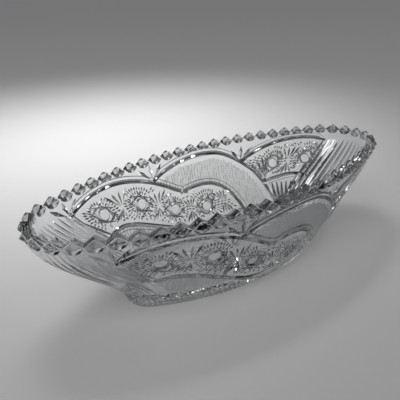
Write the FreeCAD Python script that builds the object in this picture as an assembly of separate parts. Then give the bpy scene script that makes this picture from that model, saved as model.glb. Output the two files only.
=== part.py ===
import FreeCAD, Part
import math
import os
from FreeCAD import Vector as V

os.makedirs("parts", exist_ok=True)

# Boat-shaped pressed crystal dish, one piece of glass.
# Frame: +X along the boat towards the end the waves run to, +Z up, the foot rests on z = 0.

# ---- driving dimensions (mm) ----
LENGTH = 240.0          # over the tooth points at both ends
WIDTH = 106.0           # over the tooth points at the middle
HEIGHT = 60.5           # foot to tooth points
FOOT_L, FOOT_W = 145.0, 61.0
TIP_R, FOOT_R = 30.0, 15.0      # end radius of the plan oval at the rim and at the foot
TEETH = 58
TOOTH_MID = 57.0        # level of the tooth's widest part
TOOTH_LOW = 53.6        # lower point of the lozenge
TOOTH_OUT = 1.0         # how far the diamond point stands off the wall
WALL = 5.0
FLOOR = 8.0
BOWL_R = 4.0            # rounding where the bowl's wall meets its floor
FOOT_REC = 1.0          # recess under the foot
END_EASE = (0.08, 0.99)     # ogee of the two ends, foot to rim
SIDE_EASE = (0.75, 0.62)    # full, steep sides
LINE_W, LINE_D = 2.6, 1.1   # width and depth of the mitred wave lines
BAND_W, BAND_H = 2.6, 0.8   # width and height of the raised band beside each line

RIM_A, RIM_B = LENGTH / 2 - TOOTH_OUT, WIDTH / 2 - TOOTH_OUT


def ease(c, t):
    return 3 * c[0] * t * (1 - t) ** 2 + 3 * c[1] * t * t * (1 - t) + t ** 3


def level(z):
    """Half length, half width and end radius of the outside at height z."""
    t = max(0.0, min(1.0, z / TOOTH_MID))
    e, s = ease(END_EASE, t), ease(SIDE_EASE, t)
    return (FOOT_L / 2 + (RIM_A - FOOT_L / 2) * e,
            FOOT_W / 2 + (RIM_B - FOOT_W / 2) * s,
            FOOT_R + (TIP_R - FOOT_R) * e)


def oval(a, b, r, z):
    """Plan oval of four arcs as a closed wire at height z."""
    R = ((a - r) ** 2 + b * b - r * r) / (2 * (b - r))
    th = math.atan2(R - b, a - r)
    jx, jy = (a - r) + r * math.cos(th), r * math.sin(th)
    arc = lambda p, q, s: Part.Arc(V(p[0], p[1], z), V(q[0], q[1], z), V(s[0], s[1], z)).toShape()
    return Part.Wire([arc((jx, -jy), (a, 0), (jx, jy)),
                      arc((jx, jy), (0, b), (-jx, jy)),
                      arc((-jx, jy), (-a, 0), (-jx, -jy)),
                      arc((-jx, -jy), (0, -b), (jx, -jy))])


def along(a, b, r, f):
    """Point and outward normal at share f of the way round: -X end, +Y side, +X end, -Y side."""
    R = ((a - r) ** 2 + b * b - r * r) / (2 * (b - r))
    th = math.atan2(R - b, a - r)
    quarter = r * th + R * (math.pi / 2 - th)
    s = (f % 1.0) * 4 * quarter
    k = int(s // quarter)
    s -= k * quarter
    if k % 2:
        s = quarter - s
    if s < r * th:
        ph = s / r
        x, y = (a - r) + r * math.cos(ph), r * math.sin(ph)
    else:
        ph = th + (s - r * th) / R
        x, y = R * math.cos(ph), b - R + R * math.sin(ph)
    sx = 1 if k in (1, 2) else -1
    sy = 1 if k < 2 else -1
    return sx * x, sy * y, sx * math.cos(ph), sy * math.sin(ph)


def at(u, z, out=0.0):
    """Point of the outer wall, u counted in teeth from the -X end, lifted off the wall by out."""
    def p(u, z):
        x, y, nx, ny = along(*level(z), u / TEETH)
        return V(x, y, z)
    c = p(u, z)
    if not out:
        return c
    return c + normal(u, z) * out


def normal(u, z):
    d = 0.5
    z0, z1 = max(0.0, z - d), z + d
    pu = at(u + 0.05, z) - at(u - 0.05, z)
    pz = at(u, z1) - at(u, z0)
    n = pz.cross(pu)
    n.normalize()
    x, y, nx, ny = along(*level(z), u / TEETH)
    return n if n.x * nx + n.y * ny > 0 else n * -1


# ---- body: outside loft, bowl loft, recess under the foot ----
def loft(rows):
    return Part.makeLoft([oval(*r) for r in rows], True, True)


def inner(z):
    a, b, r = level(z)
    a1, b1, _ = level(z + 0.5)
    a0, b0, _ = level(z - 0.5)
    wa, wb = (WALL * math.hypot(1, s) for s in (a1 - a0, b1 - b0))
    return a - wa, b - wb, max(4.0, r - 0.8 * wa)


outside = loft([level(z) + (z,) for z in (0, 4, 10, 17, 24, 31, 38, 45, 51, TOOTH_MID)])
rim = level(TOOTH_MID)
band = Part.Face(oval(*rim, TOOTH_MID - 0.5)).extrude(V(0, 0, HEIGHT - TOOTH_MID + 0.5))
body = outside.fuse(band).removeSplitter()

# the rounding at the floor is two plain strips, the wall above it one smooth loft
ia, ib, ir = inner(FLOOR + BOWL_R)
rounding = []
for k in range(3):
    q = math.radians(45 * k)
    d, h = BOWL_R * (1 - math.sin(q)), BOWL_R * (1 - math.cos(q))
    rounding.append((ia - d, ib - d, ir - 0.6 * d, FLOOR + h))
bowl = Part.makeLoft([oval(*r) for r in rounding], True, True)
bowl = bowl.fuse(loft([inner(z) + (z,) for z in (FLOOR + BOWL_R, 26, 42, TOOTH_MID)]))
ia, ib, ir = inner(TOOTH_MID)
mouth = Part.Face(oval(ia, ib, ir, TOOTH_MID - 0.5)).extrude(V(0, 0, 10))
body = body.cut(bowl.fuse(mouth))
body = body.cut(loft([(FOOT_L / 2 - 6, FOOT_W / 2 - 6, FOOT_R - 5, -1.0),
                      (FOOT_L / 2 - 6, FOOT_W / 2 - 6, FOOT_R - 5, FOOT_REC)]))

# ---- sawtooth rim: V notches through the band, a diamond point on every tooth ----
PITCH = (at(1, TOOTH_MID) - at(0, TOOTH_MID)).Length


def polyhedron(pts, faces):
    shell = Part.Shell([Part.Face(Part.makePolygon([pts[i] for i in f] + [pts[f[0]]])) for f in faces])
    s = Part.Solid(shell)
    if s.Volume < 0:
        s.reverse()
    return s


def notch(u):
    c, n = at(u, TOOTH_MID), normal(u, TOOTH_MID + 2)
    t = V(-n.y, n.x, 0)
    up = (HEIGHT - TOOTH_MID) * 2
    half = PITCH * 0.475 * 2
    tri = [c + V(0, 0, 0.1), c + t * half + V(0, 0, up), c - t * half + V(0, 0, up)]
    face = Part.Face(Part.makePolygon([p + n * 4 for p in tri + tri[:1]]))
    return face.extrude(n * -14)


def diamond(u):
    k = 0.46
    z0, z1 = TOOTH_LOW + 0.3, HEIGHT - 0.35
    ring = [at(u - k, TOOTH_MID, -0.5), at(u, z0, -0.5), at(u + k, TOOTH_MID, -0.5), at(u, z1, -0.5)]
    pts = ring + [at(u, TOOTH_MID, TOOTH_OUT), at(u, TOOTH_MID, -1.5)]
    return polyhedron(pts, [(0, 1, 4), (1, 2, 4), (2, 3, 4), (3, 0, 4),
                            (1, 0, 5), (2, 1, 5), (3, 2, 5), (0, 3, 5)])


body = body.cut([notch(i + 0.5) for i in range(TEETH)])
body = body.fuse([diamond(i) for i in range(TEETH)])


# ---- cut decoration ----
def leaf(a, b, wide, deep):
    """Mitre cut fading out at both ends, from (u, z) a to b."""
    p, q = at(*a), at(*b)
    um, zm = (a[0] + b[0]) / 2, (a[1] + b[1]) / 2
    m, n = at(um, zm), normal(um, zm)
    d = q - p
    s = n.cross(d)
    s.normalize()
    pts = [p + n * 0.15, q + n * 0.15, m + s * wide / 2, m - s * wide / 2, m - n * deep, m + n * 2.5]
    return polyhedron(pts, [(0, 2, 4), (2, 1, 4), (1, 3, 4), (3, 0, 4),
                            (2, 0, 5), (1, 2, 5), (3, 1, 5), (0, 3, 5)])


def frames(path):
    """Point, outward normal, sideways direction and share of the way for each (u, z) of a path."""
    for i, (u, z) in enumerate(path):
        (u0, z0), (u1, z1) = path[max(0, i - 1)], path[min(len(path) - 1, i + 1)]
        n = normal(u, z)
        s = n.cross(at(u1, z1) - at(u0, z0))
        s.normalize()
        yield at(u, z), n, s, i / (len(path) - 1)


def groove(path, wide=LINE_W, deep=LINE_D, fade=0.0):
    """Mitred line running over the wall through the (u, z) points; with fade it dies out at both ends."""
    rows = []
    for p, n, s, t in frames(path):
        k = 1 - fade * abs(2 * t - 1) ** 3
        up = 1.2
        reach = wide / 2 * k * (deep * k + up) / (deep * k)
        low, left, right = p - n * deep * k, p + n * up + s * reach, p + n * up - s * reach
        rows.append(Part.Wire(Part.makePolygon([low, left, right, low])))
    return Part.makeLoft(rows, True, True)


def band_along(path, side):
    """Raised band with a flat top, lying beside a line and on its lower or upper side."""
    rows = []
    for p, n, s, t in frames(path):
        k = 0.4 + 0.6 * min(1, 8 * t, 8 * (1 - t))
        c = p + s * side * (LINE_W / 2 - 0.3 + BAND_W / 2 * k)
        section = ((-0.5, -0.6), (-0.28, BAND_H * k), (0.28, BAND_H * k), (0.5, -0.6))
        ring = [c + s * (w * BAND_W * k) + n * h for w, h in section]
        rows.append(Part.Wire(Part.makePolygon(ring + ring[:1])))
    return Part.makeLoft(rows, True, True)


def button(u, z, wide, deep):
    """Eight-sided flat button let into the wall."""
    n = normal(u, z)
    t = n.cross(V(0, 0, 1))
    t.normalize()
    up = n.cross(t)
    c = at(u, z, -deep)
    turns = [math.radians(45 * k + 22.5) for k in range(8)]
    ring = [c + (t * math.cos(q) + up * math.sin(q)) * (wide / 2) for q in turns]
    return Part.Face(Part.makePolygon(ring + ring[:1])).extrude(n * (deep + 3))


# the waves of one side as (u, z), u in teeth from the -X end
CREST = [(4.4, 44.6), (5.3, 47.6), (6.4, 50.2), (7.6, 51.3), (8.8, 50.6), (10.0, 47.9), (11.1, 43.8),
         (12.1, 38.6), (13.0, 33.6), (13.9, 30.4)]
HUMP = [(13.2, 31.2), (14.2, 32.3), (15.3, 32.6), (16.4, 31.2), (17.4, 27.6), (18.4, 22.2), (19.4, 15.4),
        (20.5, 7.0)]
SECOND = [(11.25, 44.3), (12.3, 47.6), (13.4, 50.0), (14.6, 51.5), (15.8, 51.8), (17.0, 50.3), (18.0, 46.6),
          (19.1, 41.0), (20.4, 34.0), (21.7, 26.0), (22.9, 18.0), (24.0, 11.0)]
THIRD = [(19.1, 41.0), (20.1, 45.0), (21.2, 48.3), (22.5, 50.8), (23.9, 51.7), (25.3, 50.9), (26.6, 48.4)]
UNDER = [(4.9, 25.6), (5.8, 27.4), (6.8, 27.6), (7.9, 24.8), (9.1, 19.8), (10.3, 15.2), (11.6, 11.3),
         (13.2, 8.8), (15.2, 7.6), (17.2, 7.7), (18.8, 8.8), (20.0, 10.0)]
THIRD_UNDER = [(21.7, 25.0), (23.0, 26.8), (24.6, 28.1), (26.4, 25.6)]
WAVES = [(CREST, -1), (HUMP, -1), (SECOND, -1), (THIRD, -1), (UNDER, 1), (THIRD_UNDER, 1)]

FANS = [(4.5, 44.8), (11.3, 44.9), (19.1, 41.8)]
PRONGS = [(-0.7, 8.2), (0.05, 10.4), (0.9, 8.0)]
BUTTONS = [(6.35, 38.0), (9.45, 34.3), (12.1, 22.6), (15.6, 17.4), (22.25, 36.4), (25.3, 36.6)]
BUTTON_W, BUTTON_D = 7.2, 1.2
HOURGLASS = [(8.0, 37.0, 0.55), (10.8, 28.4, 0.50), (13.8, 18.8, 0.15), (23.7, 36.6, 0.10)]


def mirrored(s, path):
    return [(s * u, z) for u, z in path]


def bands(s):
    """Raised bands of one long side; s = -1 mirrors them to the other side."""
    return [band_along(mirrored(s, path), s * below) for path, below in WAVES]


def carving(s):
    """All cuts of one long side."""
    cuts = [groove(mirrored(s, path)) for path, _ in WAVES]
    cuts += [button(s * u, z, BUTTON_W, BUTTON_D) for u, z in BUTTONS]
    for u, z in FANS:
        for du, dz in PRONGS:
            cuts.append(leaf((s * (u + 0.12 * du), z + 1.6), (s * (u + du), z + dz), 2.4, 1.1))
    for u, z, lean in HOURGLASS:
        for du in (-0.6, 0.0, 0.6):
            cuts.append(leaf((s * (u + 0.1 * du), z + 0.8), (s * (u + du + lean), z + 8.6), 1.8, 0.9))
            cuts.append(leaf((s * (u + 0.1 * du), z - 0.8), (s * (u - du - lean), z - 8.6), 1.8, 0.9))
    return cuts


# long rays that run up both ends, following the ogee of the wall
RAYS, RAY_STEPS = 3, 4
RAY_W, RAY_D = 3.4, 1.4
rays = []
for tip in (0, TEETH / 2):
    for i in range(-RAYS, RAYS + 1):
        top = 49.0 - 0.5 * abs(i)
        shares = [k / RAY_STEPS for k in range(RAY_STEPS + 1)]
        path = [(tip + i * (0.8 + 0.2 * t), 12.0 + (top - 12.0) * t) for t in shares]
        rays.append(groove(path, RAY_W, RAY_D, 0.8))
foot = [leaf((i + 0.5, 0.8), (i + 0.5, 7.4), 3.0, 1.0) for i in range(TEETH)]

body = body.fuse(bands(1) + bands(-1))
body = body.cut(carving(1) + carving(-1))
body = body.cut(rays + foot)
body = body.removeSplitter()
if body.ShapeType != "Solid":
    body = max(body.Solids, key=lambda s: s.Volume)

body.exportStep("parts/dish.step")
print("dish", body.isValid(), round(body.Volume), [round(v, 2) for v in (
    body.BoundBox.XLength, body.BoundBox.YLength, body.BoundBox.ZLength)], len(body.Faces),
    "facets", len(body.tessellate(0.1)[1]))
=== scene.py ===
# %% [markdown]
# # A boat-shaped dish of pressed crystal
# The dish is one piece of clear glass: a long oval bowl whose rim is a row of diamond-pointed teeth. Its
# outside carries the deep cuts of a wheel: waves, fans, round buttons, stars, rayed ends and a caned
# foot. The inside is smooth. Light bends at every cut, so the cuts have to be real geometry and not a
# painted pattern. We build the blank first, as the mould would give it, and then cut it with solid tools,
# as a glass cutter would.

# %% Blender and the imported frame
import bisect
import math

import bpy
import bmesh
from mathutils import Matrix, Vector


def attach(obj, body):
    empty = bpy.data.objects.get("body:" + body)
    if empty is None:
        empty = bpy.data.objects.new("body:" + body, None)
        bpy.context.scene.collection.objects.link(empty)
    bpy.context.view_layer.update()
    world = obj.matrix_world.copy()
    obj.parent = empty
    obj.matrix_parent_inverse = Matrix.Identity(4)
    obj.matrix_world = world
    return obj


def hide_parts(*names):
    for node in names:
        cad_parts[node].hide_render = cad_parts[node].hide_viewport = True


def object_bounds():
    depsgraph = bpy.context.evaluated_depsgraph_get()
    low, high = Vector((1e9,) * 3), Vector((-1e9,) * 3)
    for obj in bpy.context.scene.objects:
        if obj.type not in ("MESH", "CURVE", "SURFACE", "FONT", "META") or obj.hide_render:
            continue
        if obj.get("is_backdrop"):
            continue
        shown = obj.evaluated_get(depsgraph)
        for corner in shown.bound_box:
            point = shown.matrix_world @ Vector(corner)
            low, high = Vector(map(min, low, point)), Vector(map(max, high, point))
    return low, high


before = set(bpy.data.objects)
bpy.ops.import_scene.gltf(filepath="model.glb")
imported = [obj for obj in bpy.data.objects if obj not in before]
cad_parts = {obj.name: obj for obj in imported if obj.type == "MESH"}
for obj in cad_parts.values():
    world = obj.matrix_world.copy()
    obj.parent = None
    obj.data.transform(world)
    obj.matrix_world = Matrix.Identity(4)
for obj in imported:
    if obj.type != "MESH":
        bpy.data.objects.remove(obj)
cad_low, cad_high = (Vector(corner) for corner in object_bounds())
print("solid model", len(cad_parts), "node", [round(v * 1000, 1) for v in cad_high - cad_low], "mm")

# %% [markdown]
# ## Sizes
# Every length below is in millimetres and becomes metres only when a point is placed. The overall size is
# read from the solid model, so the two can't drift apart. The rest are the dish's own numbers: how tall a
# tooth is, how long the foot is, and the two easing curves that draw the walls from the foot up to the
# rim.

# %% Sizes of the dish
MM = 0.001
HEIGHT = cad_high.z / MM
TEETH = 58
TOOTH_MID = HEIGHT - 3.5
TOOTH_LOW = HEIGHT - 6.9
TOOTH_OUT = 1.9
RIM = (cad_high.x / MM - TOOTH_OUT, cad_high.y / MM - TOOTH_OUT, 29.2)
FOOT = (72.5, 30.5, 15.0)
END_EASE, SIDE_EASE = (0.08, 0.99), (0.75, 0.62)
WALL, FLOOR, BOWL_R, FOOT_RECESS = 5.0, 8.0, 4.0, 1.0
print("teeth", TEETH, "height", round(HEIGHT, 2))

# %% [markdown]
# ## Camera
# The camera looks down on the dish from the front left. It is set before anything is modelled, because it
# tells which side has to be carved most carefully. Its place is written as a compass angle, a height
# angle, a roll and a distance from the middle of the rim, because each can be read and changed by itself.

# %% Camera
def camera_at(azimuth, elevation, distance, aim, roll):
    """A camera matrix from two angles, a distance and a roll, in degrees and metres."""
    az, el, ro = (math.radians(v) for v in (azimuth, elevation, roll))
    back = Vector((math.sin(az) * math.cos(el), -math.cos(az) * math.cos(el), math.sin(el)))
    right = (-back).cross(Vector((0, 0, 1))).normalized()
    up = right.cross(-back)
    x = right * math.cos(ro) + up * math.sin(ro)
    y = -right * math.sin(ro) + up * math.cos(ro)
    spot = aim + back * distance
    turned = Matrix((x, y, back)).transposed().to_4x4()
    return Matrix.Translation(spot) @ turned


AZIMUTH, ELEVATION, ROLL, DISTANCE = -38.0, 22.1, -1.15, 0.2742
lens = bpy.data.cameras.new("camera")
lens.sensor_width, lens.lens = 36.0, 41.8
lens.shift_x, lens.shift_y = -0.0776, -0.0701
lens.clip_start = 0.01
camera = bpy.data.objects.new("camera", lens)
camera.matrix_world = camera_at(AZIMUTH, ELEVATION, DISTANCE, Vector((0, 0, TOOTH_MID * MM)), ROLL)
bpy.context.scene.collection.objects.link(camera)
bpy.context.scene.camera = camera
print("camera", [round(v, 3) for v in camera.location])

# %% [markdown]
# ## The shape of the wall
# Seen from above the dish is an oval of four arcs, which is how a mould maker draws it: two small arcs at
# the tips and two large ones along the sides. The three numbers of that oval (half length, half width,
# tip radius) change with height. An easing curve with two handles gives the ogee of the ends and the
# fuller curve of the sides. Each point of the wall then has an address: how many teeth round from the
# left tip, and how high up.

# %% Ovals and the wall's addresses
def ease(handles, t):
    return 3 * handles[0] * t * (1 - t) ** 2 + 3 * handles[1] * t * t * (1 - t) + t ** 3


def outside(z):
    t = max(0.0, min(1.0, z / TOOTH_MID))
    end, side = ease(END_EASE, t), ease(SIDE_EASE, t)
    return tuple(f + (r - f) * e for f, r, e in zip(FOOT, RIM, (end, side, end)))


def inside(z):
    a, b, r = outside(z)
    (a1, b1, _), (a0, b0, _) = outside(z + 0.5), outside(z - 0.5)
    end, side = WALL * math.hypot(1, a1 - a0), WALL * math.hypot(1, b1 - b0)
    return a - end, b - side, max(4.0, r - 0.8 * end)


def side_arc(a, b, r):
    """Radius of the long side's arc, and the angle at which the tip's arc meets it."""
    big = ((a - r) ** 2 + b * b - r * r) / (2 * (b - r))
    return big, math.atan2(big - b, a - r)


def round_oval(oval, turn):
    """Point and outward direction at a share of the way round, from the left tip over the far side."""
    a, b, r = oval
    big, meet = side_arc(a, b, r)
    quarter = r * meet + big * (math.pi / 2 - meet)
    s = (turn % 1.0) * 4 * quarter
    k = min(3, int(s // quarter))
    s -= k * quarter
    if k % 2:
        s = quarter - s
    if s < r * meet:
        phi = s / r
        x, y = (a - r) + r * math.cos(phi), r * math.sin(phi)
    else:
        phi = meet + (s - r * meet) / big
        x, y = big * math.cos(phi), b - big + big * math.sin(phi)
    sx, sy = (1 if k in (1, 2) else -1), (1 if k < 2 else -1)
    return Vector((sx * x, sy * y, 0)), Vector((sx * math.cos(phi), sy * math.sin(phi), 0))


def wall(u, z):
    return round_oval(outside(z), u / TEETH)[0] + Vector((0, 0, z))


def wall_normal(u, z):
    way = round_oval(outside(z), u / TEETH)[1]
    low = max(0.0, z - 0.5)
    n = (wall(u, z + 0.5) - wall(u, low)).cross(wall(u + 0.05, z) - wall(u - 0.05, z)).normalized()
    return n if n.dot(way) > 0 else -n


def address(p):
    """The wall's address (teeth round, height) of a point in mm, and how far outside the wall it lies."""
    a, b, r = outside(p.z)
    big, meet = side_arc(a, b, r)
    x, y = abs(p.x), abs(p.y)
    phi = math.atan2(y, x - (a - r))
    if phi < meet:
        s, off = r * phi, math.hypot(x - (a - r), y) - r
    else:
        phi = math.atan2(y - (b - big), x)
        s, off = r * meet + big * (phi - meet), math.hypot(x, y - (b - big)) - big
    share = s / (4 * (r * meet + big * (math.pi / 2 - meet)))
    if p.x > 0:
        share = 0.5 - share
    return share * TEETH * (1 if p.y >= 0 else -1), p.z, off


def beside(u, z, across, up=0.0):
    """The address that lies some mm across and some mm up from another."""
    a, b, r = outside(z)
    big, meet = side_arc(a, b, r)
    return u + across * TEETH / (4 * (r * meet + big * (math.pi / 2 - meet))), z + up


print("foot", outside(0), "rim", outside(TOOTH_MID))
print("one tooth is", round(1 / (beside(0, TOOTH_MID, 1)[0]), 2), "mm wide")

# %% [markdown]
# ## One helper for every swept shape
# A blank, a groove and a rib are all the same thing to Blender: a sheet wrapped through a series of
# outlines. The helper takes a flat grid from bmesh, sends each of its vertices to its place, welds the
# seam and closes both ends. It serves for the dish itself and for every tool that follows a curve. A tool
# that is inside out cuts nothing, so each one's volume is measured, and it is turned round when that is
# negative.

# %% Wrapping a grid
def turn_outwards(bm, faces):
    """Turns shells outwards, told by their volume: the operator alone can leave a thin one inside out."""
    bm.normal_update()
    if sum(f.normal.dot(f.calc_center_median()) * f.calc_area() for f in faces) < 0:
        bmesh.ops.reverse_faces(bm, faces=faces)


def wrap(bm, rows):
    """Wraps a grid through closed outlines, one row of points each, and closes its two ends."""
    across, along = len(rows[0]), len(rows) - 1
    made = bmesh.ops.create_grid(bm, x_segments=across, y_segments=along, size=0.5)["verts"]
    ends = ([], [])
    for v in made:
        i, j = round((v.co.y + 0.5) * along), round((v.co.x + 0.5) * across) % across
        v.co = rows[i][j] * MM
        if i in (0, along):
            ends[i == along].append(v)
    bmesh.ops.weld_verts(bm, targetmap=bmesh.ops.find_doubles(bm, verts=made, dist=1e-8)["targetmap"])
    for end in ends:
        end = {v for v in end if v.is_valid}
        edges = {e for v in end for e in v.link_edges if e.is_boundary}
        bmesh.ops.contextual_create(bm, geom=[e for e in edges if end.issuperset(e.verts)])
    shell = list({f for v in made if v.is_valid for f in v.link_faces})
    bmesh.ops.recalc_face_normals(bm, faces=shell)
    turn_outwards(bm, shell)


def finish_mesh(bm, name):
    mesh = bpy.data.meshes.new(name)
    bm.to_mesh(mesh)
    bm.free()
    piece = bpy.data.objects.new(name, mesh)
    bpy.context.scene.collection.objects.link(piece)
    return piece


# %% [markdown]
# ## The blank
# The blank is what the press would give without its pattern. Its outlines run from the recess under the
# foot, up the outside, over the rim and down the inside to the floor of the bowl. Both ends of the sheet
# are flat and are closed with one face each. The grid is fine enough for the curve of the wall to shade
# smoothly and no finer, because the cuts bring their own faces.

# %% The blank
COLUMNS = TEETH * 5
OUTER_STEPS, INNER_STEPS, INNER_STEP, CORNER_STEPS = 24, 17, 2.6, 4
LIP_EDGE, FOOT_EDGE = 0.4, 0.5
sole = (FOOT[0] - 6, FOOT[1] - 6, FOOT[2] - 5)
stations = [(sole, FOOT_RECESS), (sole, 0.0), ((FOOT[0] - 0.6, FOOT[1] - 0.6, FOOT[2] - 0.5), 0.0)]
outer_high = HEIGHT - LIP_EDGE - FOOT_EDGE
outer = [FOOT_EDGE + outer_high * k / OUTER_STEPS for k in range(OUTER_STEPS + 1)]
stations += [(outside(z), z) for z in outer]
lip = inside(TOOTH_MID)
stations += [(tuple(v - LIP_EDGE for v in RIM), HEIGHT), (tuple(v + LIP_EDGE for v in lip), HEIGHT)]
stations += [(lip, HEIGHT - LIP_EDGE)]
stations += [(inside(z), z) for z in (TOOTH_MID - INNER_STEP * k for k in range(INNER_STEPS))]
deep = inside(FLOOR + BOWL_R)
for k in range(CORNER_STEPS, -1, -1):
    q = math.pi / 2 * k / CORNER_STEPS
    shrink, rise = BOWL_R * (1 - math.sin(q)), BOWL_R * (1 - math.cos(q))
    stations.append(((deep[0] - shrink, deep[1] - shrink, deep[2] - 0.6 * shrink), FLOOR + rise))
outlines = []
for oval, z in stations:
    outlines.append([round_oval(oval, k / COLUMNS)[0] + Vector((0, 0, z)) for k in range(COLUMNS)])
blank = bmesh.new()
wrap(blank, outlines)
dish = finish_mesh(blank, "crystal_dish")
print("blank", len(dish.data.polygons), "faces")

# %% [markdown]
# ## The cutting bench
# A solid tool is taken away from the dish, or added to it, with a Boolean modifier that is applied at
# once. The Manifold solver is quick enough to take hundreds of tools in one go, but it wants tools that
# don't overlap, so cuts that cross are made in turns. The wheel's bite is a diamond-shaped body, pointed
# at both ends: half of it sinks into the wall and leaves the V-shaped mitre that cut crystal is known
# for.

# %% Cutting with solid tools
def cut(tools, operation="DIFFERENCE"):
    """Applies one set of tools to the dish and clears them away."""
    faces = len(tools.faces)
    tool = finish_mesh(tools, "tool")
    step = dish.modifiers.new("cut", "BOOLEAN")
    step.solver, step.operation, step.object = "MANIFOLD", operation, tool
    bpy.context.view_layer.update()
    done = bpy.data.meshes.new_from_object(dish.evaluated_get(bpy.context.evaluated_depsgraph_get()))
    done.materials.clear()
    dish.modifiers.clear()
    old, dish.data = dish.data, done
    bpy.data.meshes.remove(old)
    bpy.data.meshes.remove(tool.data)
    print(operation.lower(), faces, "tool faces ->", len(done.polygons))


BITE_OUT = 1.6


def bite(a, b, wide, deep, belly=0.5, lift=0.1):
    """Six corners in mm of one bite of the wheel from address a to b, widest at belly of the way."""
    mid = (a[0] + (b[0] - a[0]) * belly, a[1] + (b[1] - a[1]) * belly)
    n, middle = wall_normal(*mid), wall(*mid)
    start, end = wall(*a) + n * lift, wall(*b) + n * lift
    across = n.cross(end - start).normalized() * wide / 2
    return start, end, middle - across, middle + across, middle + n * BITE_OUT, middle - n * deep


def bodies(corners):
    """One eight-faced body for each six corners: a sphere of four sides, doubled until there are enough."""
    bm = bmesh.new()
    bmesh.ops.create_uvsphere(bm, u_segments=4, v_segments=2, radius=1.0)
    made, apart = 1, 3.0
    while made < len(corners):
        twins = bmesh.ops.duplicate(bm, geom=bm.verts[:] + bm.edges[:] + bm.faces[:])["geom"]
        twins = [g for g in twins if isinstance(g, bmesh.types.BMVert)]
        bmesh.ops.translate(bm, verts=twins, vec=(apart * made, 0, 0))
        made *= 2
    spare = [v for v in bm.verts if v.co.x > apart * (len(corners) - 0.5)]
    bmesh.ops.delete(bm, geom=spare, context="VERTS")
    for v in bm.verts:
        body = round(v.co.x / apart)
        x, y, z = v.co.x - apart * body, v.co.y, v.co.z
        axis = 0 if abs(z) > 0.5 else (2 if abs(x) > 0.5 else 4)
        v.co = corners[body][axis + ((z, x, -y)[axis // 2] > 0)] * MM
    turn_outwards(bm, bm.faces[:])
    return bm


def between(t, a, b, c, d):
    """Catmull-Rom curve: from b to c, with a and d as the values before and after."""
    square, cube = 2 * a - 5 * b + 4 * c - d, 3 * b - a - 3 * c + d
    return 0.5 * (2 * b + (c - a) * t + square * t * t + cube * t ** 3)


def smooth_path(points, steps=6):
    """Fills in a path of addresses with a curve through its points."""
    path = []
    for i in range(len(points) - 1):
        p, q, r, s = (points[min(max(j, 0), len(points) - 1)] for j in (i - 1, i, i + 1, i + 2))
        for k in range(steps):
            path.append(tuple(between(k / steps, *four) for four in zip(p, q, r, s)))
    return path + [points[-1]]


def frames(path):
    """Point, normal and sideways direction along a path of addresses."""
    for i, (u, z) in enumerate(path):
        before, after = path[max(0, i - 1)], path[min(len(path) - 1, i + 1)]
        n = wall_normal(u, z)
        yield wall(u, z), n, n.cross(wall(*after) - wall(*before)).normalized(), i / (len(path) - 1)


def mitre(bm, path, wide, deep, taper=0.0, up=1.0):
    """A V groove along a path. With taper it fades out towards both ends."""
    rows = []
    for p, n, s, t in frames(path):
        k = 1.0 - taper * abs(2 * t - 1) ** 3
        w, d = wide * k, deep * k
        reach = w / 2 * (d + up) / d
        rows.append([p - n * d, p + n * up + s * reach, p + n * up - s * reach])
    wrap(bm, rows)


RIB_SUNK, RIB_ROOT = 0.25, 1.5


def rib(bm, path, wide, high, shift):
    """A rounded band standing on the wall along a path, moved sideways by shift."""
    arch = [(math.cos(math.radians(a)), math.sin(math.radians(a))) for a in range(0, 181, 10)]
    rows = []
    for p, n, s, t in frames(path):
        k = 0.35 + 0.65 * min(1.0, 12 * t, 12 * (1 - t))
        centre, half = p + s * shift * k, s * wide / 2 * k
        over = [centre + half * c + n * (h * high * k - RIB_SUNK) for c, h in arch]
        rows.append(over + [centre - half - n * RIB_ROOT, centre + half - n * RIB_ROOT])
    wrap(bm, rows)


print("tools ready")

# %% [markdown]
# ## Sawtooth rim
# Each tooth is a lozenge. Its upper half stands free and makes the saw edge, its lower half lies on the
# wall, and its face is a low four-sided point. A notch is a prism driven straight through the wall
# between two teeth. The diamond points are four-sided bodies added to the wall, one on every tooth. Two
# short grooves along its lower edges then set each tooth off from the wall. Neighbouring grooves meet at
# a point, so the left ones are cut in one turn and the right ones in the next.

# %% Notches and diamond points
pitch = (wall(1, TOOTH_MID) - wall(0, TOOTH_MID)).length
UP = Vector((0, 0, 1))
for turn in range(2):
    notches = bmesh.new()
    for i in range(turn, TEETH, 2):
        c, n = wall(i + 0.5, TOOTH_MID), round_oval(RIM, (i + 0.5) / TEETH)[1]
        aside, rise = n.cross(UP) * -pitch * 0.52, UP * (HEIGHT - TOOTH_MID) * 1.1
        wedge = [c + UP * 0.1, c + aside + rise, c - aside + rise]
        wrap(notches, [[p + n * 4 for p in wedge], [p - n * 10 for p in wedge]])
    cut(notches)
POINT_HALF, POINT_SUNK, POINT_ROOT = 0.49, 0.15, 1.5
points = []
for i in range(TEETH):
    n, middle = wall_normal(i, TOOTH_MID), wall(i, TOOTH_MID)
    corners = [wall(i, TOOTH_LOW), wall(i, HEIGHT - 0.35)]
    corners += [wall(i - POINT_HALF, TOOTH_MID), wall(i + POINT_HALF, TOOTH_MID)]
    points.append([p - n * POINT_SUNK for p in corners] + [middle + n * TOOTH_OUT, middle - n * POINT_ROOT])
cut(bodies(points), "UNION")
TOOTH_GROOVE = (1.6, 1.2)
for side in (-0.5, 0.5):
    ends = [((i + side, TOOTH_MID - 0.2), (i, TOOTH_LOW - 0.2)) for i in range(TEETH)]
    cut(bodies([bite(*pair, *TOOTH_GROOVE) for pair in ends]))

# %% [markdown]
# ## Waves
# Three waves roll along each side, from the left end to the right. Each is a rounded band with a sharp
# groove below it. The first comes down and swells into a small second hump, and the next wave starts from
# its crest. Two more bands, with their grooves above them, close the ribbons of stars from below. Both
# sides carry the same waves, mirrored. Groove and band stay a hair apart, because where they touch the
# band's edge comes out ragged.

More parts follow.
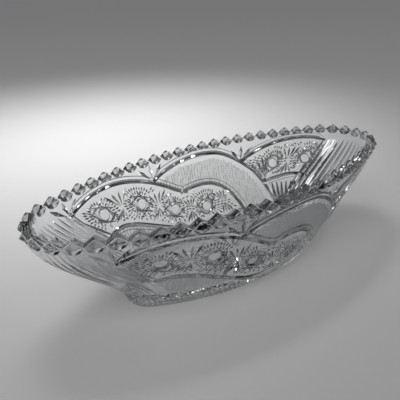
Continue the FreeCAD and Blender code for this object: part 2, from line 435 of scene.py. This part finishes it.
# %% Wave bands and their grooves
CREST = [(4.4, 44.6), (5.3, 47.6), (6.4, 50.2), (7.6, 51.3), (8.8, 50.6), (10.0, 47.9), (11.1, 43.8),
         (12.1, 38.6), (13.0, 33.6), (13.9, 30.4)]
HUMP = [(13.2, 31.2), (14.2, 32.3), (15.3, 32.6), (16.4, 31.2), (17.4, 27.6), (18.4, 22.2), (19.4, 15.4),
        (20.5, 7.0)]
SECOND = [(11.25, 44.3), (12.3, 47.6), (13.4, 50.0), (14.6, 51.5), (15.8, 51.8), (17.0, 50.3), (18.0, 46.6),
          (19.1, 41.0), (20.4, 34.0), (21.7, 26.0), (22.9, 18.0), (24.0, 11.0)]
THIRD = [(19.1, 41.0), (20.1, 45.0), (21.2, 48.3), (22.5, 50.8), (23.9, 51.7), (25.3, 50.9), (26.6, 48.4)]
UNDER = [(4.9, 25.6), (5.8, 27.4), (6.8, 27.6), (7.9, 24.8), (9.1, 19.8), (10.3, 15.2), (11.6, 11.3),
         (13.2, 8.8), (15.2, 7.6), (17.2, 7.7), (18.8, 8.8), (20.0, 10.0)]
THIRD_UNDER = [(21.7, 25.0), (22.9, 26.6), (24.2, 28.0), (25.4, 27.6), (26.4, 25.6)]
# line, width and height of its band, and the band's side: -1 above the line, 1 below it
WAVES = [(CREST, 2.6, 1.0, -1), (HUMP, 2.6, 1.0, -1), (SECOND, 2.6, 1.0, -1), (THIRD, 2.4, 0.9, -1),
         (UNDER, 2.4, 1.0, 1), (THIRD_UNDER, 2.0, 0.8, 1)]
WAVE_CUT, BAND_START = (2.0, 1.5), 1.1
for points, wide, high, side in WAVES:
    bands, grooves = bmesh.new(), bmesh.new()
    for hand in (1, -1):
        path = [(hand * u, z) for u, z in smooth_path(points)]
        rib(bands, path, wide, high, side * hand * (wide / 2 + BAND_START))
        mitre(grooves, path, *WAVE_CUT)
    cut(bands, "UNION")
    cut(grooves)

# %% [markdown]
# ## Fans and hourglasses
# A fan of three wheel bites stands where two waves meet. Inside the ribbon, hourglasses part one star
# from the next: two fans that share a waist and lean with the ribbon. A fan of four fills the left corner
# of the third ribbon. They are cut in two turns, because neighbours nearly touch.

# %% Fans and hourglasses
FANS = [(4.5, 44.8), (11.3, 44.9), (19.1, 41.8)]
PRONGS = ((-0.95, 8.8), (0.05, 10.4), (1.05, 8.8))
# address of the waist, lean in teeth of the upper and of the lower fan, and the length of both
HOURGLASS = [(8.0, 37.0, 0.15, 0.9, 10.5, 6.5), (10.8, 28.4, 0.40, 0.7, 9.5, 7.5),
             (13.9, 18.8, 0.0, 0.2, 7.5, 8.0), (17.7, 17.6, -0.8, -0.6, 8.0, 8.0),
             (23.7, 36.6, 0.10, 0.0, 9.4, 8.6)]
PRONG_SPREAD, FULL_FAN = (-0.84, -0.28, 0.28, 0.84), 9.5
CORNER, CORNER_FAN = (22.2, 25.5), ((20.0, 38.4), (20.45, 41.4), (21.0, 42.8), (21.6, 42.0))
FAN_BITE, HOURGLASS_BITE, CORNER_BITE = (2.5, 1.8, 0.6), (1.6, 1.5, 0.68), (2.0, 1.6, 0.75)
for turn in range(2):
    bites = []
    for hand in (1, -1):
        for u, z in FANS:
            for du, dz in PRONGS[turn::2]:
                near = (hand * (u + 0.12 * du), z + 0.8)
                bites.append(bite(near, (hand * (u + du), z + dz), *FAN_BITE))
        for u, z, over, under, rise, drop in HOURGLASS:
            for du in PRONG_SPREAD[turn::2]:
                for way, lean, far in ((1, over, rise), (-1, under, drop)):
                    near = (hand * (u + 0.08 * du), z + way * 0.4)
                    spread = way * (lean + du * far / FULL_FAN)
                    bites.append(bite(near, (hand * (u + spread), z + way * far), *HOURGLASS_BITE))
        for k, (u, z) in enumerate(CORNER_FAN[turn::2]):
            bites.append(bite((hand * (CORNER[0] - 0.08 * k), CORNER[1] + k), (hand * u, z), *CORNER_BITE))
    cut(bodies(bites))

# %% [markdown]
# ## Stars with a button
# The middle of each star is a round button, sunk with a flat bottom and a steep edge. Eight straight cuts
# pass it at a tangent, three points apart, and cross into an eight-pointed star. Only two of the eight
# are parallel and stay clear of each other, so the star takes four turns. A cut stops where the ribbon
# does, so a few lines of code first tell how high each wave stands at any place round the wall.

# %% Buttons
BUTTONS = [(6.35, 38.0), (9.45, 34.3), (12.1, 22.6), (15.6, 17.4), (22.25, 36.4), (25.3, 36.6)]
BUTTON_R, BUTTON_DEEP, BUTTON_SIDES, EDGE_RUN = 4.1, 1.6, 32, 1.0
angles = [math.tau * k / BUTTON_SIDES for k in range(BUTTON_SIDES)]
buttons = bmesh.new()
for hand in (1, -1):
    for u, z in BUTTONS:
        centre, n = wall(hand * u, z), wall_normal(hand * u, z)
        t = n.cross(UP).normalized()
        spokes = [t * math.cos(q) + t.cross(n) * math.sin(q) for q in angles]
        rows = [(out, BUTTON_R + out * EDGE_RUN / BUTTON_DEEP) for out in (-BUTTON_DEEP, BITE_OUT)]
        wrap(buttons, [[centre + n * out + spoke * r for spoke in spokes] for out, r in rows])
cut(buttons)


# %% Where the ribbons are
def height_on(path, u, off=0.0):
    """Height, at a place round the wall, of the line off mm above a wave, or None beyond its ends."""
    i = bisect.bisect(path, (u,))
    if not 0 < i < len(path):
        return None
    (u0, z0), (u1, z1) = path[i - 1:i + 1]
    across = (u1 - u0) / beside(0, z0, 1)[0]
    return z0 + (z1 - z0) * (u - u0) / (u1 - u0) + off * math.hypot(1, (z1 - z0) / across)


CURVES = [smooth_path(points) for points, *_ in WAVES]


def wave_heights(u, off=0.0):
    return [height_on(path, abs(u), off) for path in CURVES]


GROOVE_HALF, RIBBON_TOP, RIBBON_FOOT = WAVE_CUT[0] / 2, 3.8, 3.5


def in_ribbon(u, z, margin=0.0):
    """True inside a ribbon of stars, at least margin clear of the bands above and below it."""
    crest, hump, _, third, _, _ = wave_heights(u, -RIBBON_TOP - margin)
    second = wave_heights(u, GROOVE_HALF + margin)[2]
    _, _, _, _, under, third_under = wave_heights(u, RIBBON_FOOT + margin)
    if under and under < z < max(crest or 0, hump or 0):
        return True
    return bool(third) and (third_under or second or 0) < z < third


print("points of the waves", [len(curve) for curve in CURVES])

# %% Stars
STAR_REACH, STAR_BITE, SHORTEST = 9.384, (1.7, 1.4), 4.0


def reach(hand, u, z, out, along):
    """End of a star's cut: from the tangent point to the star's tip, or to the ribbon's edge before it."""
    spot, gone = (u, z), 0.0
    while gone < STAR_REACH:
        gone += 0.5
        step = beside(u, z, out[0] + along[0] * gone, out[1] + along[1] * gone)
        if not in_ribbon(*step):
            break
        spot = step
    return hand * spot[0], spot[1]


for turn in range(4):
    lines = []
    for hand in (1, -1):
        for u, z in BUTTONS:
            for q in (math.pi / 8 + math.pi / 4 * turn, math.pi * 9 / 8 + math.pi / 4 * turn):
                out = (math.cos(q) * (BUTTON_R + 0.5), math.sin(q) * (BUTTON_R + 0.5))
                ends = [reach(hand, u, z, out, (-math.sin(q) * d, math.cos(q) * d)) for d in (1, -1)]
                if (wall(*ends[0]) - wall(*ends[1])).length > SHORTEST:
                    lines.append(bite(*ends, *STAR_BITE))
    cut(bodies(lines))

# %% [markdown]
# ## Nicks between the stars
# What is left of the ribbon is filled with short nicks. They stand in rings round each button and point
# away from it, and a ring breaks off where a nick stands already, where the ribbon ends or where there is
# an hourglass. There are hundreds, so each is only eight faces. Those with room on every side are cut in
# the first turn, and those that stand close to another in the second.

# %% Nicks
NICK_LONG, NICK_GAP, NICK_BITE = 3.2, 1.65, (1.3, 1.2, 0.5, 0.05)
RINGS, FIRST_RING, RING_GAP, BUTTON_CLEAR = 7, BUTTON_R + 3.4, 2.8, BUTTON_R + 2.6


def in_hourglass(u, z):
    """True on an hourglass, whose two fans widen with their distance from the waist."""
    for waist, height, over, under, rise, drop in HOURGLASS:
        dz = z - height
        lean, far = (over, rise) if dz > 0 else (under, drop)
        width = 1 / beside(0, z, 1)[0]
        half = 0.9 * width * abs(dz) / FULL_FAN + 0.9
        if abs(dz) < far and abs(u - waist - lean * dz / far) * width < half:
            return True
    return False


def ring_of_nicks(button, r):
    """Both ends, as addresses, of the nicks in one ring round a button."""
    count = round(math.tau * r / NICK_GAP)
    for k in range(count):
        q = math.tau * k / count
        ends = (r - NICK_LONG / 2, r + NICK_LONG / 2)
        yield tuple(beside(*button, math.cos(q) * end, math.sin(q) * end) for end in ends)


def spacing(p, q):
    return math.hypot((p[0] - q[0]) / beside(0, p[1], 1)[0], p[1] - q[1])


nicks = ([], [])
taken = []
for ring in range(RINGS):
    for button in BUTTONS:
        for a, b in ring_of_nicks(button, FIRST_RING + RING_GAP * ring):
            spot = ((a[0] + b[0]) / 2, (a[1] + b[1]) / 2)
            on_button = any(spacing(spot, other) < BUTTON_CLEAR for other in BUTTONS)
            if on_button or in_hourglass(*spot) or not in_ribbon(*spot, -0.2):
                continue
            gap = min((spacing(spot, other) for other in taken), default=NICK_LONG)
            if gap > NICK_GAP * 0.95:
                taken.append(spot)
                for hand in (1, -1):
                    nick = bite((hand * a[0], a[1]), (hand * b[0], b[1]), *NICK_BITE)
                    nicks[gap < NICK_LONG].append(nick)
print("nicks", [len(turn) for turn in nicks])
for turn in nicks:
    cut(bodies(turn))

# %% [markdown]
# ## Rayed ends and the foot
# The two ends carry long rays that run up from the foot like the ribs of a shell. They follow the ogee of
# the wall, so they are swept mitres and not straight bites. Finer flutes close the ribbon beside the rays
# and hang below the third ribbon. The foot is caned: two sets of slanting bites cross in three rows all
# the way round, and leave small points between them. The upper rows stop where the ribbon's lower band
# hangs down.

# %% Rays of the ends
LEFT_RAYS, RIGHT_RAYS, RAY_STEPS = 11, 6, 14
LEFT_LOW, RIGHT_LOW, RAY_TOP = 12.0, 10.0, 50.0
LEFT_PITCH, RIGHT_PITCH, RIGHT_CLOSING = 0.42, 0.72, 0.30
RAY = (2.6, 1.7, 0.8)


def shares(steps):
    return [j / steps for j in range(steps + 1)]


for turn in range(2):
    rays = bmesh.new()
    for k in range(-LEFT_RAYS, LEFT_RAYS + 1):
        if k % 2 == turn:
            top = RAY_TOP - 0.25 * abs(k)
            left = [(k * LEFT_PITCH, LEFT_LOW + (top - LEFT_LOW) * t) for t in shares(RAY_STEPS)]
            mitre(rays, left if abs(k) < LEFT_RAYS - 1 else left[5:], *RAY)
            if abs(k) <= RIGHT_RAYS:
                places = [k * (RIGHT_PITCH - RIGHT_CLOSING * t) for t in shares(RAY_STEPS)]
                rises = [RIGHT_LOW + (top - RIGHT_LOW) * t for t in shares(RAY_STEPS)]
                mitre(rays, [(TEETH / 2 + u, z) for u, z in zip(places, rises)], *RAY)
    cut(rays)

# %% Flutes that close the ribbon, and flutes below the third one
RIBBON_FLUTES, FOOT_FLUTES = 3, 8
RIBBON_FLUTE, FOOT_FLUTE = (1.8, 1.3, 0.7), (2.2, 1.5, 0.6)
for k in range(RIBBON_FLUTES):
    flutes = bmesh.new()
    for hand in (1, -1):
        mitre(flutes, [(hand * (4.4 + 0.5 * k * t), 43.6 - 17.8 * t) for t in shares(8)], *RIBBON_FLUTE)
        for j in range(k, FOOT_FLUTES, RIBBON_FLUTES):
            leaning = [(24.6 + 0.30 * j, 10.0), (23.6 + 0.42 * j, 16.5), (22.9 + 0.5 * j, 23.4)]
            mitre(flutes, [(hand * u, z) for u, z in leaning], *FOOT_FLUTE)
    cut(flutes)

# %% Caned foot
CANE_HIGH, CANE_SLANT, CANE_BITE = 3.9, 0.6, (2.4, 1.7)
CANE_ROWS = ((0.4, 0.0), (4.1, 0.25), (7.8, 0.0))


def meets_band(u, top):
    """True where the band below the ribbon hangs lower than the top of a row of caning."""
    lows = [height_on(CURVES[4], min(u, TEETH - u) + aside, -3.4) for aside in (-CANE_SLANT, 0, CANE_SLANT)]
    return any(low and low < top for low in lows)


for slant in (CANE_SLANT, -CANE_SLANT):
    for low, shift in CANE_ROWS:
        high = low + CANE_HIGH
        row = [i / 2 + shift for i in range(TEETH * 2)]
        row = [u for u in row if low == CANE_ROWS[0][0] or not meets_band(u, high)]
        cut(bodies([bite((u - slant / 2, low), (u + slant / 2, high), *CANE_BITE) for u in row]))

# %% [markdown]
# ## Star under the foot
# The underside is sunk a little, so that the dish stands on its edge, and carries a long star of rays, as
# such dishes do. It is out of sight, but it makes the floor of the bowl glitter.

# %% Star under the foot
BASE_RAYS, BASE_INNER, BASE_OUTER = 28, (9, 5, 4), (FOOT[0] - 8, FOOT[1] - 8, FOOT[2] - 6)
BASE_DEEP, BASE_HALF = 1.5, 1.6
flat = UP * (FOOT_RECESS - 0.05)
for turn in range(2):
    rays = []
    for k in range(turn, BASE_RAYS, 2):
        share = (k + 0.5) / BASE_RAYS
        inner, outer = (round_oval(oval, share)[0] + flat for oval in (BASE_INNER, BASE_OUTER))
        middle = inner.lerp(outer, 0.6)
        across = (outer - inner).cross(UP).normalized() * BASE_HALF
        rays.append((inner, outer, middle - across, middle + across, middle - UP, middle + UP * BASE_DEEP))
    cut(bodies(rays))

# %% [markdown]
# ## Finishing the glass
# Every face is a triangle at the end, so that the exported mesh is the one that was rendered. Two cut
# outlines that share two corners can both be given the edge between them as a diagonal, which leaves an
# edge with four faces: one of the two outlines then gets a vertex in the middle of it. Edges between
# faces that meet at a clear angle stay sharp, and the rest shade smoothly, which keeps the bowl soft and
# the cuts crisp. The four finishes are told apart by a face's address on the wall and by how steeply it
# stands to it.

# %% Frosted grounds
GROUND_LOW, GROUND_TOP, GROUND_END, CANE_TOP = 9.6, 3.5, 13, 11.9


def frosted(u, z):
    """True on the ground under the second wave, and on the ground under the ribbon."""
    crest, hump, *_ = wave_heights(u, GROOVE_HALF)
    second, under = wave_heights(u, -GROUND_TOP)[2], wave_heights(u, -GROOVE_HALF)[4]
    if second and max(crest or 0, hump or 0, GROUND_LOW) < z < second:
        return True
    return bool(under) and abs(u) < GROUND_END and CANE_TOP < z < under


print("frosted under the second wave", frosted(16, 40), "and on a button", frosted(*BUTTONS[0]))

# %% Closing and sharpening the mesh
def part_diagonal(bm, edge, origin):
    """Two cut outlines can be given the same diagonal. One of them gets a vertex halfway along it instead."""
    sides = [f[origin] for f in edge.link_faces]
    double = max(sides, key=sides.count)
    middle = bm.verts.new((edge.verts[0].co + edge.verts[1].co) / 2)
    for f in [f for f in edge.link_faces if f[origin] == double][:2]:
        far = next(v for v in f.verts if v not in edge.verts)
        bm.faces.remove(f)
        for v in edge.verts:
            bm.faces.new((v, middle, far))


bm = bmesh.new()
bm.from_mesh(dish.data)
origin = bm.faces.layers.int.new("origin")
for f in bm.faces:
    f[origin] = f.index
bmesh.ops.triangulate(bm, faces=bm.faces)
while crowded := [e for e in bm.edges if len(e.link_faces) > 2]:
    for e in crowded:
        part_diagonal(bm, e, origin)
bmesh.ops.recalc_face_normals(bm, faces=bm.faces)
turn_outwards(bm, bm.faces[:])
CREASE = math.radians(17)
for e in bm.edges:
    e.smooth = len(e.link_faces) == 2 and e.calc_face_angle(0) < CREASE
print("triangles", len(bm.faces), "open edges", sum(1 for e in bm.edges if len(e.link_faces) != 2))

# %% Which face has which finish
CLEAR, FROSTED, CUT, CANED = range(4)
STEEP, CUT_DEPTH, GROUND_DEPTH, FOOT_TOP = (34, 115), 2.4, 1.6, 11.6


def finish_of(f):
    """The finish of a face, told by its address and by how steeply it stands to the wall."""
    u, z, off = address(f.calc_center_median() / MM)
    if off < -CUT_DEPTH:
        return CLEAR
    n = wall_normal(u, z)
    if STEEP[0] < math.degrees(f.normal.angle(n, 0)) < STEEP[1]:
        # Steep faces get the grey cut finish, which is painted shade; on the foot those facing down get the
        # caned finish, a painted glint.
        return CANED if z < FOOT_TOP and f.normal.z < n.z - 0.1 else CUT
    return FROSTED if off > -GROUND_DEPTH and frosted(u, z) else CLEAR


finishes = [0, 0, 0, 0]
for f in bm.faces:
    f.smooth = True
    f.material_index = finish_of(f)
    finishes[f.material_index] += 1
bm.to_mesh(dish.data)
bm.free()
print("clear, frosted, cut and caned faces", finishes)

# %% [markdown]
# ## Materials
# Clear crystal is a Principled shader with full transmission and the refractive index of pressed crystal.
# The steep faces of the cuts are a little greyer: painted shade for the little light that comes back to
# the eye from a real cut. On the caned foot the facets that face down are paler and a little milky: a
# painted glint, set against the greyer facets that face up. The frosted ground is the same glass with a
# rough, hammered surface, drawn by a wave and a noise.

# %% Shader helpers
class Socket:
    """Wraps a node socket so that shader maths reads as Python."""

    def __init__(self, tree, link=None):
        self.tree, self.link = tree, link

    def node(self, kind, values, stops=(), **settings):
        """Adds a node: its settings and a ramp's stops first, then the values or links of its sockets."""
        n = self.tree.nodes.new(kind)
        for key, value in settings.items():
            setattr(n, key, value)
        for k, (spot, colour) in enumerate(stops):
            n.color_ramp.elements[k].position, n.color_ramp.elements[k].color = spot, colour
        for key, value in values.items():
            if isinstance(value, Socket):
                self.tree.links.new(value.link, n.inputs[key])
            else:
                n.inputs[key].default_value = value
        return n

    def made(self, kind, values, output=0, **settings):
        """Adds a node and hands on one of its outputs."""
        return Socket(self.tree, self.node(kind, values, **settings).outputs[output])

    def maths(self, how, other):
        return self.made("ShaderNodeMath", {0: self, 1: other}, operation=how)

    def __add__(self, other):
        return self.maths("ADD", other)

    def __mul__(self, other):
        return self.maths("MULTIPLY", other)

    __radd__, __rmul__ = __add__, __mul__


def material(name, **constants):
    m = bpy.data.materials.new(name)
    m.use_nodes = True
    shader = m.node_tree.nodes["Principled BSDF"]
    for key, value in constants.items():
        shader.inputs[key.replace("_", " ")].default_value = value
    return m, shader


# %% Clear crystal, cut flanks with painted shade and caned foot with painted glints
GLASS_IOR = 1.53
crystal, _ = material("clear_crystal", Base_Color=(0.94, 0.95, 0.955, 1), Roughness=0.015, IOR=GLASS_IOR,
                      Transmission_Weight=1.0)
# The grey base colour of the cut flanks is painted shade.
flank, _ = material("cut_flank_painted_shade", Base_Color=(0.62, 0.63, 0.645, 1), Roughness=0.06, IOR=GLASS_IOR,
                    Transmission_Weight=1.0)
# The pale, milky glass of the caned foot is a painted glint on its facets that face down.
caned, _ = material("caned_foot_painted_glint", Base_Color=(0.93, 0.94, 0.95, 1), Roughness=0.2, IOR=GLASS_IOR,
                    Transmission_Weight=0.45)
print("glass", [m.name for m in (crystal, flank, caned)])

# %% Frosted ground
frost, shader = material("frosted_ground", IOR=1.5, Transmission_Weight=0.88)
place = Socket(frost.node_tree).made("ShaderNodeTexCoord", {}, "Object")
silk = place.made("ShaderNodeTexWave", {"Vector": place, "Scale": 150.0, "Distortion": 7.0, "Detail": 3.0,
                                        "Detail Scale": 1.8}, "Fac", wave_type="BANDS", bands_direction="X")
grain = place.made("ShaderNodeTexNoise", {"Vector": place, "Scale": 620.0, "Detail": 3.0}, "Fac")
cloth = silk * 0.55 + grain * 0.45
greys = {"Factor": cloth, "A": (0.72, 0.73, 0.735, 1), "B": (0.99, 0.99, 0.99, 1)}
hammered = {"Height": cloth, "Strength": 1.0, "Distance": 0.00045}
surface = {"Base Color": place.made("ShaderNodeMix", greys, "Result", data_type="RGBA"),
           "Roughness": grain * 0.2 + 0.25,
           "Normal": place.made("ShaderNodeBump", hammered, "Normal")}
for name, value in surface.items():
    frost.node_tree.links.new(value.link, shader.inputs[name])
for m in (crystal, frost, flank, caned):
    dish.data.materials.append(m)
print("finishes", [m.name for m in dish.data.materials])

# %% [markdown]
# ## Floor, light and the frame
# The floor is plain and pale. Glass has no look of its own, it shows what stands round it, so the sky is
# grey near the horizon and dark above, which gives the cuts their dark edges, together with the painted shade
# on their flanks. A small lamp with a narrow beam lays a pool of light on the floor behind the dish, for the
# far wall to stand against, and a large soft lamp at the front left lights the rest. The floor is a little
# brighter to the eye and to the glass than to the light that falls on it, so it stays pale and keeps its
# shadow.

# %% Floor and light
bm = bmesh.new()
bmesh.ops.create_grid(bm, x_segments=1, y_segments=1, size=20)
floor = finish_mesh(bm, "floor")
paint, shader = material("floor_paint", Base_Color=(0.80, 0.80, 0.80, 1), Roughness=0.6)
tree = paint.node_tree
seen = Socket(tree).node("ShaderNodeLightPath", {}).outputs
looked_at = Socket(tree, seen["Is Camera Ray"])
for ray in ("Is Glossy Ray", "Is Transmission Ray"):
    looked_at = looked_at.maths("MAXIMUM", Socket(tree, seen[ray]))
glow = looked_at.made("ShaderNodeEmission", {"Color": (0.12, 0.12, 0.12, 1), "Strength": looked_at})
both = looked_at.made("ShaderNodeAddShader", {0: Socket(tree, shader.outputs["BSDF"]), 1: glow})
tree.links.new(both.link, tree.nodes["Material Output"].inputs["Surface"])
floor.data.materials.append(paint)
floor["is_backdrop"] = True
print("floor", floor.name, paint.name)

# %% Sky
world = bpy.data.worlds.new("studio")
world.use_nodes = True
bpy.context.scene.world = world
tree = world.node_tree
way = Socket(tree).made("ShaderNodeTexCoord", {}, "Generated")
height = way.made("ShaderNodeSeparateXYZ", {0: way}, "Z")
stops = [(0.0, (0.26, 0.26, 0.27, 1)), (0.30, (0.06, 0.06, 0.065, 1))]
sky = way.made("ShaderNodeValToRGB", {"Fac": height}, "Color", stops=stops)
tree.links.new(sky.link, tree.nodes["Background"].inputs["Color"])
print("sky", [spot for spot, _ in stops])


# %% Lamps
def lamp(name, spot, size, watts, aim, spread=180):
    light = bpy.data.lights.new(name, "AREA")
    light.shape, light.size, light.size_y, light.energy = "ELLIPSE", size[0], size[1], watts
    light.spread = math.radians(spread)
    body = bpy.data.objects.new(name, light)
    turned = (Vector(aim) - Vector(spot)).to_track_quat("-Z", "Y").to_matrix().to_4x4()
    body.matrix_world = Matrix.Translation(spot) @ turned
    bpy.context.scene.collection.objects.link(body)


lamp("pool", (0.04, 0.30, 0.60), (0.35, 0.25), 0.58, (0.04, 0.30, 0), 70)
lamp("fill", (-0.8, -0.5, 1.2), (0.9, 0.9), 4.0, (0, 0, 0))
bpy.context.scene.view_settings.view_transform = "Standard"

# %% Riding on the frame
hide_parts("dish")
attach(dish, "root")
